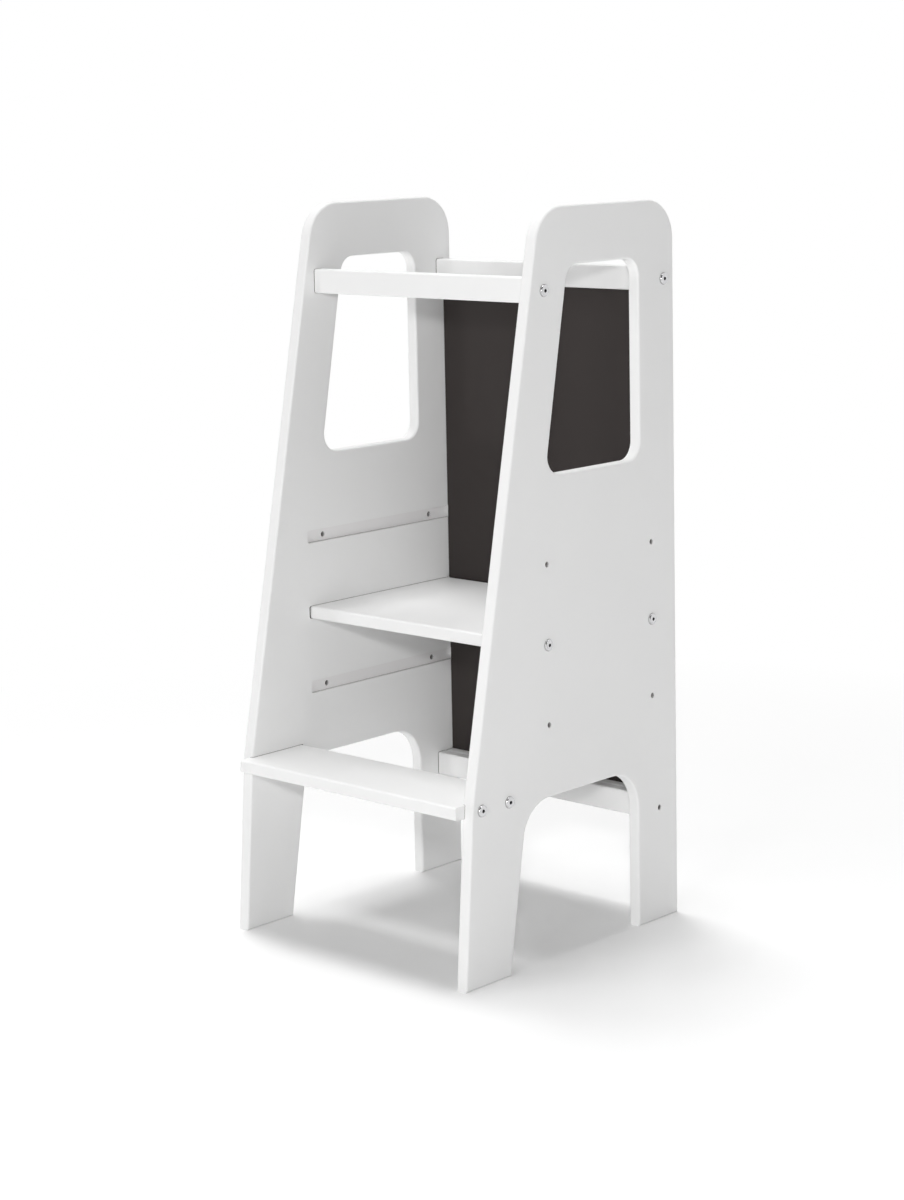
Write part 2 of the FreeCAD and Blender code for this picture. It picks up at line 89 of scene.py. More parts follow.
# ---- Shader building ---------------------------------------------------------------------------
class ShaderTree:
    """The node tree of a material or of the world, with short calls for the nodes used here."""

    def __init__(self, owner: Material | bpy.types.World, output_kind: str) -> None:
        """Empties the tree.

        Args:
            owner: the material or world that the tree belongs to.
            output_kind: the type name of its output node.
        """
        owner.use_nodes = True
        self.owner = owner
        self.tree = owner.node_tree
        self.tree.nodes.clear()
        self.output = self.tree.nodes.new(output_kind)

    @classmethod
    def for_material(cls, name: str) -> ShaderTree:
        """The empty tree of a new material."""
        return cls(bpy.data.materials.new(name), "ShaderNodeOutputMaterial")

    @classmethod
    def for_world(cls, name: str) -> ShaderTree:
        """The empty tree of a new world."""
        return cls(bpy.data.worlds.new(name), "ShaderNodeOutputWorld")

    def add(self, kind: str, **settings: object) -> Node:
        """Adds a node.

        Args:
            kind: the node's type name.
            settings: properties of the node.

        Returns:
            The new node.
        """
        node = self.tree.nodes.new(kind)
        for key, value in settings.items():
            setattr(node, key, value)
        return node

    def link(self, source: Socket, target: Socket) -> None:
        """Joins an output to an input."""
        self.tree.links.new(source, target)

    def feed(self, target: Socket, value: Socket | float | Colour) -> None:
        """Gives an input its value.

        Args:
            target: the input.
            value: another node's output, or a plain number or colour.
        """
        if isinstance(value, bpy.types.NodeSocket):
            self.link(value, target)
        elif isinstance(value, tuple):
            target.default_value = (*value, 1.0)
        else:
            target.default_value = value

    def position(self, stretch: Point = (1.0, 1.0, 1.0)) -> Socket:
        """Object coordinates, which are the stool's own frame.

        Args:
            stretch: the scale along each axis.

        Returns:
            The scaled coordinates' socket.
        """
        coordinates = self.add("ShaderNodeTexCoord")
        mapping = self.add("ShaderNodeMapping")
        mapping.inputs["Scale"].default_value = stretch
        self.link(coordinates.outputs["Object"], mapping.inputs["Vector"])
        return mapping.outputs["Vector"]

    def noise(self, where: Socket, scale: float, detail: float, roughness: float = 0.5) -> Socket:
        """Fractal noise from 0 to 1.

        Args:
            where: the coordinates.
            scale: features per metre.
            detail: the number of octaves.
            roughness: how strong the finer octaves are.

        Returns:
            The noise value's socket.
        """
        noise = self.add("ShaderNodeTexNoise")
        noise.inputs["Scale"].default_value = scale
        noise.inputs["Detail"].default_value = detail
        noise.inputs["Roughness"].default_value = roughness
        self.link(where, noise.inputs["Vector"])
        return noise.outputs["Fac"]

    def spread(self, value: Socket, low: float, high: float, span: Span = NOISE_SPAN) -> Socket:
        """Maps a span of a value to low..high, clamped.

        Args:
            value: the value.
            low: what the start of the span becomes.
            high: what its end becomes.
            span: the values at its start and end.

        Returns:
            The mapped value's socket.
        """
        ramp = self.add("ShaderNodeMapRange")
        ramp.inputs["From Min"].default_value = span[0]
        ramp.inputs["From Max"].default_value = span[1]
        ramp.inputs["To Min"].default_value = low
        ramp.inputs["To Max"].default_value = high
        self.link(value, ramp.inputs["Value"])
        return ramp.outputs["Result"]

    def mixed(
            self, kind: str, share: Socket, first: Socket | float | Colour,
            second: Socket | float | Colour) -> Socket:
        """Mixes two values.

        Args:
            kind: the data type's name.
            share: the share of the second one.
            first: the first value.
            second: the second value.

        Returns:
            The mixed value's socket.
        """
        mix = self.add("ShaderNodeMix", data_type=kind)
        self.link(share, mix.inputs["Factor"])
        self.feed(mix.inputs["A"], first)
        self.feed(mix.inputs["B"], second)
        return mix.outputs["Result"]

    def blend(self, share: Socket, first: Socket | Colour, second: Socket | Colour) -> Socket:
        """Mixes two colours by the share of the second one."""
        return self.mixed("RGBA", share, first, second)

    def choose(self, share: Socket, first: Socket | float, second: Socket | float) -> Socket:
        """Mixes two numbers by the share of the second one."""
        return self.mixed("FLOAT", share, first, second)

    def math(self, operation: str, first: Socket, second: Socket | float = 0.0) -> Socket:
        """Works on one or two values.

        Args:
            operation: the operation's name, such as ADD.
            first: the first value.
            second: the second value, where the operation takes two.

        Returns:
            The result's socket.
        """
        node = self.add("ShaderNodeMath", operation=operation)
        self.link(first, node.inputs[0])
        self.feed(node.inputs[1], second)
        return node.outputs["Value"]

    def along(self, vector: Socket, axis: Point) -> Socket:
        """A vector's length along an axis.

        Args:
            vector: the vector.
            axis: the axis, of length 1.

        Returns:
            The length's socket.
        """
        dot = self.add("ShaderNodeVectorMath", operation="DOT_PRODUCT")
        dot.inputs[1].default_value = axis
        self.link(vector, dot.inputs[0])
        return dot.outputs["Value"]

    def facing(self, axis: Point) -> Socket:
        """How squarely the surface faces along an axis: 1 is square on, and 0 is edge on."""
        normal = self.add("ShaderNodeNewGeometry").outputs["Normal"]
        return self.math("ABSOLUTE", self.along(normal, axis))

    def openness(self, distance: float) -> Socket:
        """How open the surroundings are: 1 on a flat face, and less in corners and bores.

        Args:
            distance: how far away other surfaces count.

        Returns:
            The openness's socket.
        """
        shelter = self.add("ShaderNodeAmbientOcclusion", samples=SHELTER_SAMPLES)
        shelter.inputs["Distance"].default_value = distance
        return shelter.outputs["AO"]

    def bump(self, height: Socket, depth: float, under: Socket | None = None) -> Socket:
        """Surface relief.

        Args:
            height: the height map, from 0 to 1.
            depth: the relief's full depth.
            under: a coarser relief that this one adds to.

        Returns:
            The normal's socket.
        """
        bump = self.add("ShaderNodeBump")
        bump.inputs["Distance"].default_value = depth
        self.link(height, bump.inputs["Height"])
        if under is not None:
            self.link(under, bump.inputs["Normal"])
        return bump.outputs["Normal"]

    def seen_directly(self) -> Socket:
        """Tells what is seen, straight, mirrored or through glass, from what only gives light.

        Returns:
            The socket of a value that is 1 for what is seen and 0 for light.
        """
        path = self.add("ShaderNodeLightPath")
        seen = self.math("MAXIMUM", path.outputs["Is Camera Ray"], path.outputs["Is Glossy Ray"])
        return self.math("MAXIMUM", seen, path.outputs["Is Transmission Ray"])

    def surface(self, **inputs: Socket | float | Colour) -> Material:
        """Ends the material with a principled surface.

        Args:
            inputs: input names with underscores for spaces, each a socket or a plain value.

        Returns:
            The finished material.
        """
        shader = self.add("ShaderNodeBsdfPrincipled")
        for key, value in inputs.items():
            self.feed(shader.inputs[key.replace("_", " ")], value)
        self.link(shader.outputs["BSDF"], self.output.inputs["Surface"])
        return self.owner


# ---- Finishes ----------------------------------------------------------------------------------
class BoardAxis(Enum):
    """The direction that a board's broad faces point in."""

    X = (1.0, 0.0, 0.0)
    Y = (0.0, 1.0, 0.0)
    Z = (0.0, 0.0, 1.0)


@dataclass(frozen=True)
class SprayPaint:
    """Satin white lacquer, sprayed on fibreboard: darker on groove floors, missing inside bores,
    and with painted shade in corners and bores.

    Attributes:
        groove_floor_tint: the darker colour of the grooves' floors.
        corner_painted_shade: painted shade, the darker colour deep in a joint's corner.
        bore_fibre_and_painted_shade: bare fibreboard darkened with painted shade, the colour
            inside a bore.
        edge_roughness: how much rougher the cut edges are.
        sheen_swing: how far the roughness drifts either way.
        corner_reach: how far away the surfaces of a corner count.
        corner_openness: how open a corner is where its painted shade is full, and where it ends.
        bore_reach: how far away the walls of a bore count.
        bore_openness: how open a bore is where its painted shade is full, and where it ends.
        groove_margin: how near the grooves' floors the darker colour is full, and where it ends.
        floor_clearance: from which height to which the painted shade comes in, so that the feet
        have none where they stand.
        edge_facing: how squarely a cut edge and a broad face point along the board's axis.
        floor_facing: the same for a wall and the floor of a groove.
    """

    name: str = "white_lacquer"
    colour: Colour = (0.905, 0.905, 0.902)
    mottle: Colour = (0.891, 0.891, 0.888)
    groove_floor_tint: Colour = (0.855, 0.845, 0.845)
    # Painted shade deep in joints' corners.
    corner_painted_shade: Colour = (0.36, 0.34, 0.33)
    # Painted shade over the bare fibreboard inside bores.
    bore_fibre_and_painted_shade: Colour = (0.10, 0.085, 0.08)
    roughness: float = 0.48
    edge_roughness: float = 0.12
    sheen_swing: float = 0.03
    gloss: float = 0.35
    mottle_per_metre: float = 9.0
    sheen_per_metre: float = 27.0
    peel_per_metre: float = 420.0
    peel_depth: float = 0.06 * MM
    fibre_per_metre: float = 1500.0
    fibre_depth: float = 0.05 * MM
    corner_reach: float = 1.4 * MM
    corner_openness: Span = (0.5, 0.85)
    bore_reach: float = 14.0 * MM
    bore_openness: Span = (0.2, 0.36)
    groove_margin: Span = (0.32 * MM, 0.4 * MM)
    floor_clearance: Span = (5.0 * MM, 15.0 * MM)
    edge_facing: Span = (0.2, 0.95)
    floor_facing: Span = (0.8, 0.95)

    def material(self, axis: BoardAxis, groove_floor_x: float) -> Material:
        """The finish for a board.

        Args:
            axis: the way the board's broad faces point.
            groove_floor_x: how far from the middle of the stool the grooves' floors lie.

        Returns:
            The material.
        """
        shader = ShaderTree.for_material(f"{self.name}_{axis.name.lower()}")
        where = shader.position()
        mottle = shader.noise(where, self.mottle_per_metre, 4.0)
        colour = shader.blend(shader.spread(mottle, 0.0, 1.0), self.colour, self.mottle)
        # The grooves' floors are a little darker.
        if axis is BoardAxis.X:
            groove = self.groove_share(shader, where, groove_floor_x)
            colour = shader.blend(groove, colour, self.groove_floor_tint)
        height = shader.along(where, BoardAxis.Z.value)
        above_floor = shader.spread(height, 0.0, 1.0, self.floor_clearance)
        # Painted shade: corners and bores darken by how closed in they are, above the floor.
        for reach, openness, bare in (
                (self.corner_reach, self.corner_openness, self.corner_painted_shade),
                (self.bore_reach, self.bore_openness, self.bore_fibre_and_painted_shade)):
            share = shader.spread(shader.openness(reach), 1.0, 0.0, openness)
            colour = shader.blend(shader.math("MULTIPLY", share, above_floor), colour, bare)
        edge = shader.spread(shader.facing(axis.value), 1.0, 0.0, self.edge_facing)
        sheen = shader.spread(
            shader.noise(where, self.sheen_per_metre, 2.0), -self.sheen_swing, self.sheen_swing)
        rougher = shader.math("MULTIPLY", edge, self.edge_roughness)
        rough = shader.math("ADD", rougher, self.roughness)
        peel = shader.bump(shader.noise(where, self.peel_per_metre, 1.0), self.peel_depth)
        fibre = shader.math("MULTIPLY", shader.noise(where, self.fibre_per_metre, 2.0), edge)
        return shader.surface(
            Base_Color=colour,
            Roughness=shader.math("ADD", rough, sheen),
            Specular_IOR_Level=self.gloss,
            Normal=shader.bump(fibre, self.fibre_depth, under=peel))

    def groove_share(self, shader: ShaderTree, where: Socket, floor_x: float) -> Socket:
        """Tells the floors of the panels' grooves from the rest of them.

        Args:
            shader: the material's tree.
            where: the coordinates.
            floor_x: how far from the middle of the stool the grooves' floors lie.

        Returns:
            The socket of a value that is 1 on the floors and 0 elsewhere.
        """
        x = shader.math("ABSOLUTE", shader.along(where, BoardAxis.X.value))
        off = shader.math("ABSOLUTE", shader.math("SUBTRACT", x, floor_x))
        near = shader.spread(off, 1.0, 0.0, self.groove_margin)
        square = shader.spread(shader.facing(BoardAxis.X.value), 0.0, 1.0, self.floor_facing)
        return shader.math("MULTIPLY", near, square)


@dataclass(frozen=True)
class ChalkboardPaint:
    """Matt blackboard paint with the faint haze that wiped chalk leaves."""

    name: str = "chalkboard_paint"
    colour: Colour = (0.0365, 0.0302, 0.0288)
    haze: Colour = (0.041, 0.0342, 0.0325)
    roughness: float = 0.8
    wiped_swing: float = 0.06
    gloss: float = 0.3
    wipes_per_metre: float = 5.0
    wipes_stretch: Point = (1.0, 1.0, 0.35)
    wipes_span: Span = (0.35, 0.75)
    grain_per_metre: float = 1600.0
    grain_depth: float = 0.04 * MM

    def material(self) -> Material:
        """The finish of the chalkboard.

        Returns:
            The material.
        """
        shader = ShaderTree.for_material(self.name)
        where = shader.position(self.wipes_stretch)
        wipes = shader.noise(where, self.wipes_per_metre, 5.0, 0.6)
        grain = shader.noise(shader.position(), self.grain_per_metre, 2.0)
        haze = shader.spread(wipes, 0.0, 1.0, self.wipes_span)
        return shader.surface(
            Base_Color=shader.blend(haze, self.colour, self.haze),
            Roughness=shader.spread(
                wipes, self.roughness - self.wiped_swing, self.roughness + self.wiped_swing),
            Specular_IOR_Level=self.gloss,
            Normal=shader.bump(grain, self.grain_depth))


@dataclass(frozen=True)
class PlatedSteel:
    """Zinc plating with fine turning marks."""

    name: str = "zinc_plated_steel"
    colour: Colour = (0.70, 0.70, 0.71)
    dull: Colour = (0.58, 0.58, 0.59)
    roughness: float = 0.13
    brighter: float = 0.05
    duller: float = 0.1
    cloud_per_metre: float = 220.0
    marks_per_metre: float = 3500.0
    marks_depth: float = 0.01 * MM

    def material(self) -> Material:
        """The finish of bolts, nuts and screws.

        Returns:
            The material.
        """
        shader = ShaderTree.for_material(self.name)
        where = shader.position()
        cloud = shader.noise(where, self.cloud_per_metre, 3.0)
        marks = shader.noise(where, self.marks_per_metre, 1.0)
        return shader.surface(
            Base_Color=shader.blend(shader.spread(cloud, 0.0, 1.0), self.colour, self.dull),
            Roughness=shader.spread(
                cloud, self.roughness - self.brighter, self.roughness + self.duller),
            Metallic=1.0,
            Normal=shader.bump(marks, self.marks_depth))


@dataclass(frozen=True)
class BareBeech:
    """Unfinished beech, with its grain along X, as the dowels lie."""

    name: str = "bare_beech"
    colour: Colour = (0.62, 0.42, 0.24)
    grain: Colour = (0.48, 0.30, 0.16)
    roughness: float = 0.65
    grain_per_metre: float = 260.0
    grain_stretch: Point = (0.08, 1.0, 1.0)
    grain_depth: float = 0.1 * MM

    def material(self) -> Material:
        """The finish of the dowels.

        Returns:
            The material.
        """
        shader = ShaderTree.for_material(self.name)
        where = shader.position(self.grain_stretch)
        streaks = shader.noise(where, self.grain_per_metre, 4.0)
        return shader.surface(
            Base_Color=shader.blend(shader.spread(streaks, 0.0, 1.0), self.colour, self.grain),
            Roughness=self.roughness,
            Normal=shader.bump(streaks, self.grain_depth))


# ---- Turned pieces -----------------------------------------------------------------------------
class RingShape(Enum):
    """The outline of one ring of a turned piece."""

    ROUND = "round"
    HEX = "hex"
    SLOT = "slot"
    CROSS = "cross"
    FLUTED = "fluted"
    THREAD = "thread"


@dataclass(frozen=True)
class Ring:
    """One ring of a turned piece.

    Attributes:
        along: how far along the piece's axis it lies.
        radius: its radius; half the width of a hexagon, or half the length of a slot.
        shape: its outline.
        cut: half the width of a slot, or the depth of a thread or of a flute.
        pitch: the thread's pitch, or the number of flutes.
    """

    along: float
    radius: float
    shape: RingShape = RingShape.ROUND
    cut: float = 0.0
    pitch: float = 1.0

    def reach(self, turn: float) -> float:
        """How far from the axis the ring lies.

        Args:
            turn: the angle round the axis, in radians.

        Returns:
            The distance.
        """
        if self.shape is RingShape.HEX:
            sixth = math.pi / 3
            return self.radius / math.cos((turn + sixth / 2) % sixth - sixth / 2)
        if self.shape is RingShape.SLOT:
            return self.bar(turn)
        if self.shape is RingShape.CROSS:
            return max(self.bar(turn), self.bar(turn + math.pi / 2))
        if self.shape is RingShape.FLUTED:
            return self.radius - self.cut * (0.5 + 0.5 * math.cos(turn * self.pitch)) ** 2
        if self.shape is RingShape.THREAD:
            phase = (self.along / self.pitch - turn / (2 * math.pi)) % 1.0
            return self.radius - self.cut * abs(2 * phase - 1)
        return self.radius

    def bar(self, turn: float) -> float:
        """How far from the axis the edge of a bar of this ring's length and width lies.

        Args:
            turn: the angle round the axis, in radians.

        Returns:
            The distance.
        """
        tiny = 1e-6
        to_end = self.radius / max(abs(math.cos(turn)), tiny)
        to_side = self.cut / max(abs(math.sin(turn)), tiny)
        return min(to_end, to_side)


@dataclass(frozen=True)
class Recess:
    """A driver's recess, a little narrower at its floor, with a bevel at its mouth.

    Attributes:
        shape: a hexagon, a slot or a cross.
        depth: how deep it is.
        size: the hexagon's half width, or the slot's half length.
        cut: the slot's half width.
        centre: the flat disc in the middle of the floor, as a share of the size.
        floor_size: the floor's share of the size.
        floor_cut: the floor's share of the cut.
        bevel: how deep the bevel is.
        mouth_size: the mouth's share of the size.
        mouth_cut: the mouth's share of the cut.
    """

    shape: RingShape
    depth: float
    size: float
    cut: float = 0.0
    centre: float = 0.05
    floor_size: float = 0.92
    floor_cut: float = 0.85
    bevel: float = 0.15 * MM
    mouth_size: float = 1.07
    mouth_cut: float = 1.3

    def rings(self) -> list[Ring]:
        """The recess as rings, from the middle of its floor up to its mouth.

        Returns:
            The rings.
        """
        return [
            Ring(self.depth, self.size * self.centre),
            Ring(self.depth, self.size * self.floor_size, self.shape, self.cut * self.floor_cut),
            Ring(self.bevel, self.size, self.shape, self.cut),
            Ring(0.0, self.size * self.mouth_size, self.shape, self.cut * self.mouth_cut),
        ]


def quarter_round(depth: float, inner: float, outer: float, steps: int) -> list[Ring]:
    """Rings of a rounded edge, from the flat top of a head out and down to its side.

    Args:
        depth: how far down the edge reaches.
        inner: the radius where the flat top ends.
        outer: the radius of the side.
        steps: how many bands the edge has.

    Returns:
        The rings.
    """
    turns = (math.radians(90 * k / steps) for k in range(steps + 1))
    return [
        Ring(depth * (1 - math.cos(turn)), inner + (outer - inner) * math.sin(turn))
        for turn in turns
    ]


def turned_mesh(
        name: str, rings: Sequence[Ring], places: Sequence[Matrix], steps: int,
        recessed: bool = False) -> bpy.types.Object:
    """Builds one object that holds a closed turned piece at each place.

    Args:
        name: the object's name.
        rings: the piece's rings, from one end to the other, along its own +Z.
        places: where each copy stands.
        steps: how many points a ring has.
        recessed: whether the first bands are a recess, which takes the second finish, a painted
            shade.

    Returns:
        The new object.
    """
    mesh = bmesh.new()
    turns = [2 * math.pi * k / steps for k in range(steps)]
    for place in places:
        loops = []
        for ring in rings:
            points = (
                Vector((math.cos(turn) * ring.reach(turn), math.sin(turn) * ring.reach(turn),
                        ring.along))
                for turn in turns)
            loops.append([mesh.verts.new(place @ point) for point in points])
        for band, (lower, upper) in enumerate(zip(loops, loops[1:])):
            for k in range(steps):
                after = (k + 1) % steps
                face = mesh.faces.new((lower[k], lower[after], upper[after], upper[k]))
                # A recess's walls and floor take the second material, painted shade.
                face.material_index = int(recessed and band < RECESS_BANDS)
        mesh.faces.new(list(reversed(loops[0]))).material_index = int(recessed)
        mesh.faces.new(loops[-1])
    bmesh.ops.recalc_face_normals(mesh, faces=mesh.faces)
    return finished_object(name, mesh)


def finished_object(name: str, mesh: bmesh.types.BMesh) -> bpy.types.Object:
    """Turns a built mesh into an object in the scene, smooth except at its real edges.

    Args:
        name: the object's name.
        mesh: the built mesh, which is freed.

    Returns:
        The new object.
    """
    data = bpy.data.meshes.new(name)
    mesh.to_mesh(data)
    mesh.free()
    data.shade_smooth()
    data.set_sharp_from_angle(angle=math.radians(SHARP_ANGLE))
    piece = bpy.data.objects.new(name, data)
    bpy.context.scene.collection.objects.link(piece)
    return piece


def cut_away(piece: bpy.types.Object, cutter: bpy.types.Object) -> None:
    """Cuts one object's shape out of another.

    Args:
        piece: the object that is cut.
        cutter: the shape to cut out, which is removed.
    """
    modifier = piece.modifiers.new("cut", "BOOLEAN")
    modifier.operation = "DIFFERENCE"
    modifier.solver = "EXACT"
    modifier.object = cutter
    evaluated = piece.evaluated_get(bpy.context.evaluated_depsgraph_get())
    whole = piece.data
    piece.data = bpy.data.meshes.new_from_object(evaluated)
    piece.modifiers.clear()
    bpy.data.meshes.remove(whole)
    bpy.data.objects.remove(cutter)


def aimed(origin: Sequence[float], direction: Sequence[float]) -> Matrix:
    """A place whose own +Z points along a direction."""
    turn = Vector(direction).to_track_quat("Z", "Y").to_matrix().to_4x4()
    return Matrix.Translation(Vector(origin)) @ turn


# ---- Fasteners ---------------------------------------------------------------------------------
@dataclass
class Fastener:
    """A group of identical fasteners, modelled in place of one node of the frame.

    Attributes:
        node: the frame's node.
        model: the node's own object.
        finish: the material of the outside.
        recess_shade: the dark material of the driver's recess, a painted shade.
        slot: the name of a material slot; not used.
        steps: how many points a ring has.
        recessed: whether the rings start with a recess.
    """

    node: str
    model: bpy.types.Object
    finish: Material
    recess_shade: Material
    slot: str = "plated_steel"
    steps: int = 48
    recessed: bool = True

    def rings(self) -> list[Ring]:
        """The rings of one piece, from the end that its place names."""
        raise NotImplementedError

    def places(self) -> list[Matrix]:
        """Where each piece starts, and which way it points."""
        raise NotImplementedError

    def build(self) -> bpy.types.Object:
        """Models the group, gives it its finish and its body, and hides the frame's node.

        Returns:
            The group's object.
        """
        piece = turned_mesh(
            f"{self.node}_detail", self.rings(), self.places(), self.steps, self.recessed)
        for material in (self.finish, self.recess_shade):
            piece.data.materials.append(material)
        self.shape(piece)
        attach(piece, ROOT_BODY)
        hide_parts(self.node)
        return piece

    def shape(self, piece: bpy.types.Object) -> None:
        """Cuts what rings can't form; most fasteners need nothing."""

    def across(self, axis: int, inset: float, count: int) -> list[float]:
        """Places spread evenly along an axis.

        Args:
            axis: 0, 1 or 2 for X, Y or Z.
            inset: how far inside the group's box the outer places lie.
            count: how many places there are.

        Returns:
            The places along the axis.
        """
        low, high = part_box(self.node)
        first, last = low[axis] + inset, high[axis] - inset
        if count == 1:
            return [(first + last) / 2]
        return [first + (last - first) * k / (count - 1) for k in range(count)]

    def outer_x(self) -> float:
        """How far from the middle of the stool the group reaches."""
        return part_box(self.node)[1].x

    def length_in(self) -> float:
        """The length of a piece that points inwards from the group's outer end."""
        return self.outer_x() - min(abs(vertex.co.x) for vertex in self.model.data.vertices)

    def inward_places(self, row_inset: float, rows: int) -> list[Matrix]:
        """Places on both sides of the stool that point inwards along X.

        Args:
            row_inset: how far inside the group's box the front and rear rows lie.
            rows: how many rows there are from front to rear.

        Returns:
            The places.
        """
        height = self.across(2, 0.0, 1)[0]
        return [
            aimed((side * self.outer_x(), depth, height), (-side, 0.0, 0.0))
            for side in (-1, 1) for depth in self.across(1, row_inset, rows)
        ]


@dataclass
class ThreadedFastener(Fastener):
    """A bolt or screw with a head and a threaded shank.

    Attributes:
        run_out: how much further up the shank than the thread the bare part ends.
    """

    head_radius: float = 3.4 * MM
    head_height: float = 4.0 * MM
    shank_radius: float = 2.5 * MM
    thread_depth: float = 0.6 * MM
    thread_pitch: float = 2.2 * MM
    run_out: float = 0.2 * MM

    def threaded(self, start: float, end: float) -> list[Ring]:
        """The end of the bare shank, and the thread after it.

        Args:
            start: where the thread begins along the axis.
            end: where it ends.

        Returns:
            The rings.
        """
        count = int((end - start) / self.thread_pitch * THREAD_RINGS_PER_TURN)
        shape = (RingShape.THREAD, self.thread_depth, self.thread_pitch)
        return [Ring(start - self.run_out, self.shank_radius)] + [
            Ring(start + (end - start) * k / count, self.shank_radius, *shape)
            for k in range(count + 1)
        ]


@dataclass
class ConnectorBolts(ThreadedFastener):
    """Flat-headed bolts with a hex socket, driven in through both side panels."""

    rows: int = 1
    head_radius: float = 7.0 * MM
    head_height: float = 2.6 * MM
    rim_round: float = 1.7 * MM
    rim_steps: int = 6
    rear_edge: float = 0.15 * MM
    socket_half_width: float = 2.0 * MM
    socket_depth: float = 2.0 * MM
    shank_radius: float = 3.0 * MM
    thread_length: float = 16.0 * MM
    thread_depth: float = 0.55 * MM
    thread_pitch: float = 1.0 * MM
    tip: float = 1.0 * MM

    def places(self) -> list[Matrix]:
        """On the crown of each head."""
        return self.inward_places(self.head_radius, self.rows)

    def rings(self) -> list[Ring]:
        """Down the socket, over the rounded rim, and along the shank to its thread.

        Returns:
            The rings.
        """
        length = self.length_in()
        return [
            *Recess(RingShape.HEX, self.socket_depth, self.socket_half_width).rings(),
            *quarter_round(
                self.rim_round, self.head_radius - self.rim_round, self.head_radius,
                self.rim_steps),
            Ring(self.head_height - self.rear_edge, self.head_radius),
            Ring(self.head_height, self.head_radius - self.rear_edge),
            Ring(self.head_height, self.shank_radius),
            *self.threaded(length - self.thread_length, length - self.tip),
            Ring(length, self.shank_radius - 2 * self.thread_depth),
        ]


@dataclass
class BarrelNuts(Fastener):
    """Cross dowels with a threaded hole for the bolt and a slot to turn them by."""

    rows: int = 1
    upright: bool = True
    radius: float = 5.0 * MM
    chamfer: float = 0.4 * MM
    slot_half_length: float = 3.9 * MM
    slot_half_width: float = 0.6 * MM
    slot_depth: float = 1.2 * MM
    hole_radius: float = 3.05 * MM
    drill_reach: float = 7.5 * MM

    def axis(self) -> int:
        """The axis that the nuts lie along: Z in the level boards, Y in the rails."""
        return 2 if self.upright else 1

    def length(self) -> float:
        """How long a nut is."""
        low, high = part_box(self.node)
        return high[self.axis()] - low[self.axis()]

    def centres(self) -> list[Point]:
        """The middle of each nut.

        Returns:
            The points.
        """
        height = self.across(2, 0.0, 1)[0]
        return [
            (side * (self.outer_x() - self.radius), depth, height)
            for side in (-1, 1) for depth in self.across(1, self.radius, self.rows)
        ]

    def places(self) -> list[Matrix]:
        """On the slotted end of each nut, which is its lower or its rear end.

        Returns:
            The places.
        """
        inwards = Vector((0.0, 0.0, 1.0)) if self.upright else Vector((0.0, -1.0, 0.0))
        half = inwards * self.length() / 2
        return [aimed(Vector(centre) - half, inwards) for centre in self.centres()]

    def rings(self) -> list[Ring]:
        """Down the slot, over the chamfer and along the barrel.

        Returns:
            The rings.
        """
        end = self.length()
        slot = Recess(RingShape.SLOT, self.slot_depth, self.slot_half_length, self.slot_half_width)
        return [
            *slot.rings(),
            Ring(0.0, self.radius - self.chamfer),
            Ring(self.chamfer, self.radius),
            Ring(end - self.chamfer, self.radius),
            Ring(end, self.radius - self.chamfer),
        ]

    def shape(self, piece: bpy.types.Object) -> None:
        """Drills the bolt's hole through each nut.

        Args:
            piece: the group's object.
        """
        rings = [Ring(end, self.hole_radius) for end in (-self.drill_reach, self.drill_reach)]
        drills = [aimed(centre, (1.0, 0.0, 0.0)) for centre in self.centres()]
        cut_away(piece, turned_mesh("nut_drill", rings, drills, self.steps))


@dataclass
class SunkScrews(ThreadedFastener):
    """The lower rail's screws, with a hex socket in a small round head."""

    rim_round: float = 0.4 * MM
    socket_half_width: float = 1.5 * MM
    socket_depth: float = 2.2 * MM
    thread_start: float = 8.2 * MM
    point: float = 5.0 * MM

    def places(self) -> list[Matrix]:
        """On the face of each head, deep in its hole."""
        return self.inward_places(self.head_radius, 1)

    def rings(self) -> list[Ring]:
        """Down the socket, over the head and along the thread to the point.

        Returns:
            The rings.
        """
        length = self.length_in()
        return [
            *Recess(RingShape.HEX, self.socket_depth, self.socket_half_width).rings(),
            Ring(0.0, self.head_radius - self.rim_round),
            Ring(self.rim_round, self.head_radius),
            Ring(self.head_height, self.head_radius),
            Ring(self.head_height, self.shank_radius),
            *self.threaded(self.thread_start, length - self.point),
            Ring(length, self.shank_radius * POINT_SHARE),
        ]


@dataclass
class BattenScrews(ThreadedFastener):
    """Countersunk wood screws with a cross recess, driven forwards from the rear."""

    columns: int = 3
    rows: int = 1
    steps: int = 64
    head_radius: float = 4.0 * MM
    head_height: float = 2.0 * MM
    rim: float = 0.1 * MM
    recess_half_length: float = 2.1 * MM
    recess_half_width: float = 0.55 * MM
    recess_depth: float = 1.4 * MM
    shank_radius: float = 2.0 * MM
    neck: float = 0.8 * MM
    thread_depth: float = 0.5 * MM
    thread_pitch: float = 1.8 * MM
    point: float = 3.0 * MM

    def places(self) -> list[Matrix]:
        """On the top of each head.

        Returns:
            The places, row by row.
        """
        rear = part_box(self.node)[1].y
        return [
            aimed((x, rear, z), (0.0, -1.0, 0.0))
            for z in self.across(2, self.head_radius, self.rows)
            for x in self.across(0, self.head_radius, self.columns)
        ]

    def rings(self) -> list[Ring]:
        """Down the recess, over the head and along the thread to the point.

        Returns:
            The rings.
        """
        low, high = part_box(self.node)
        length = high.y - low.y
        recess = Recess(
            RingShape.CROSS, self.recess_depth, self.recess_half_length, self.recess_half_width)
        return [
            *recess.rings(),
            *self.head(),
            *self.threaded(self.head_height + self.neck, length - self.point),
            Ring(length, self.shank_radius * POINT_SHARE),
        ]

    def head(self) -> list[Ring]:
        """The rim of the head and its cone.

        Returns:
            The rings.
        """
        return [
            Ring(0.0, self.head_radius - self.rim),
            Ring(self.rim, self.head_radius - self.rim / 2),
            Ring(self.head_height, self.shank_radius),
        ]


